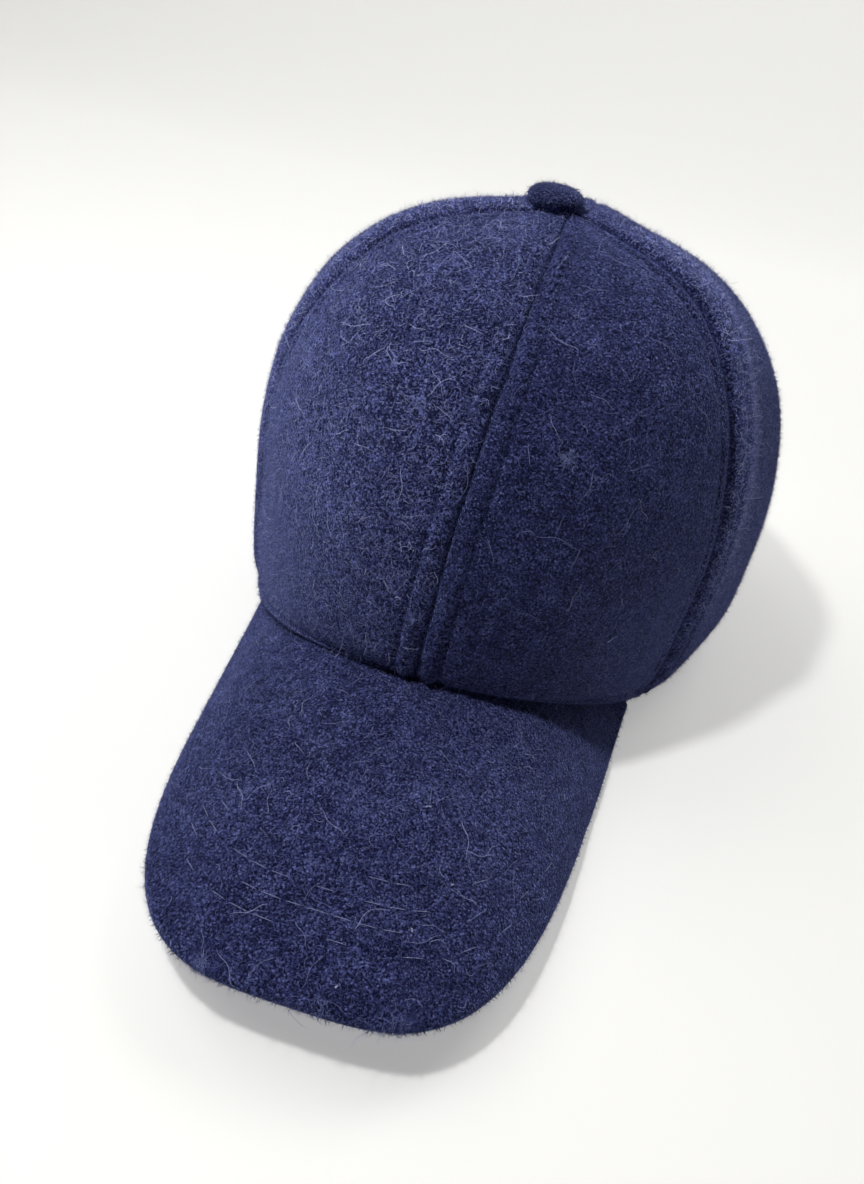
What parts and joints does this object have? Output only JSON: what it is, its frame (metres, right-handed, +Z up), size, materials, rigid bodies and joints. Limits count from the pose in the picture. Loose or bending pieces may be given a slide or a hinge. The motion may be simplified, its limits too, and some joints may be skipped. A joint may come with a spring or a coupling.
{
  "type": "cashmere baseball cap",
  "caption": "Soft brushed-cashmere baseball cap: gored round crown, long arched peak and cloth-covered top button, standing on its rim.",
  "frame": {"origin": "middle of the footprint's box, on the floor that the rim rests on", "axes": "+Z up, the peak points along -Y, +X is the wearer's left"},
  "size_m": [0.188, 0.2872, 0.1549],
  "materials": {
    "crown_cashmere": "brushed navy cashmere with a short, fleecy nap",
    "peak_cashmere": "brushed navy cashmere over a stiff board, nap lying flat",
    "button_cashmere": "brushed navy cashmere stretched over a button"
  },
  "bodies": {
    "root": {"crown_panel_front_left": "crown_cashmere", "crown_panel_side_left": "crown_cashmere", "crown_panel_back_left": "crown_cashmere", "crown_panel_back_right": "crown_cashmere", "crown_panel_side_right": "crown_cashmere", "crown_panel_front_right": "crown_cashmere", "peak": "peak_cashmere", "top_button": "button_cashmere"}
  },
  "joints": []
}
